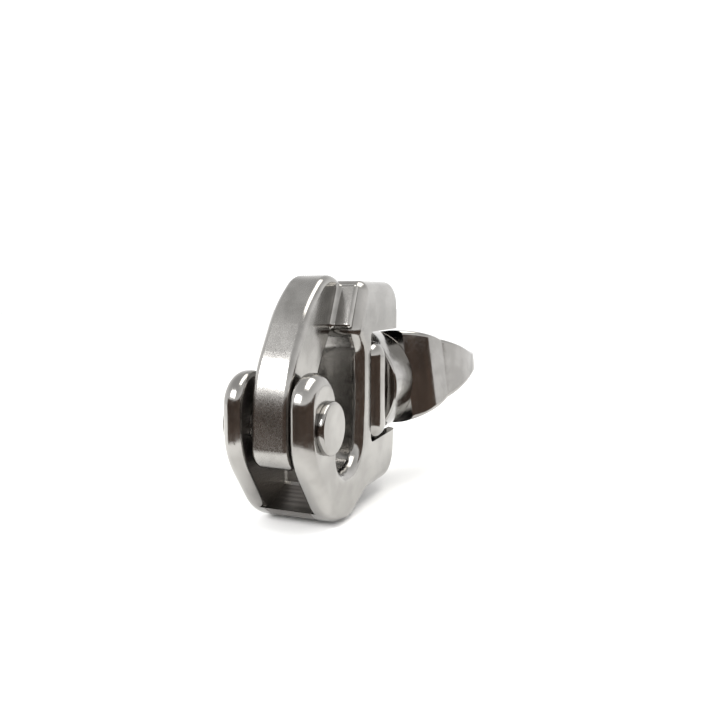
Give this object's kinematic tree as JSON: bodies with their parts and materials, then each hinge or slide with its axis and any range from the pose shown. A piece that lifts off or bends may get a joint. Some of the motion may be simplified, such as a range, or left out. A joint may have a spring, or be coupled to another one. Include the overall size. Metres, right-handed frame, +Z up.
{
  "type": "swivel snap shackle",
  "caption": "Trigger-release snap shackle: a hinged gate closes a round steel ring, and a ball-bearing swivel joins it to a large tapering bail.",
  "frame": {"origin": "the point on the swivel axis in the middle of the ring opening", "axes": "+X along the swivel axis from the nose towards the bail, +Z up in the plane of the ring, Y along the gate pin"},
  "size_m": [0.088, 0.0414, 0.0471],
  "materials": {
    "polished_steel": "mirror-polished stainless steel",
    "satin_steel": "satin stainless steel",
    "spring_steel": "drawn stainless wire",
    "bearing_steel": "ground and lapped",
    "bronze": "turned aluminium bronze",
    "acetal": "turned black acetal"
  },
  "bodies": {
    "shackle": {"shackle_body": "polished_steel", "gate_pin": "polished_steel", "gate_pin_cap": "polished_steel", "gate_washers": "satin_steel", "trigger_pin": "satin_steel", "trigger_spring": "spring_steel", "swivel_stud": "polished_steel", "front_seal": "acetal", "swivel_nut": "satin_steel", "nut_lock_pin": "spring_steel"},
    "gate_arm": {"gate": "polished_steel"},
    "trigger_lever": {"trigger": "satin_steel"},
    "bail": {"swivel_bail": "polished_steel", "bail_bushing": "bronze", "bearing_race": "bearing_steel", "bearing_balls": "bearing_steel"}
  },
  "joints": [
    {"name": "gate_hinge", "type": "hinge", "parent": "shackle", "child": "gate_arm", "pos_m": [-0.0094, 0, -0.0037], "axis": [0, -1, 0], "range_deg": [0, 105]},
    {"name": "trigger_pivot", "type": "hinge", "parent": "shackle", "child": "trigger_lever", "pos_m": [0.018, 0, 0.0173], "axis": [0, 1, 0], "range_deg": [-4.8, 0], "stiffness_Nm_per_rad": 0.004, "springref_deg": -6.88, "deforming": ["trigger_spring"]},
    {"name": "bail_swivel", "type": "hinge", "parent": "shackle", "child": "bail", "pos_m": [0, 0, 0], "axis": [1, 0, 0], "continuous": true}
  ]
}
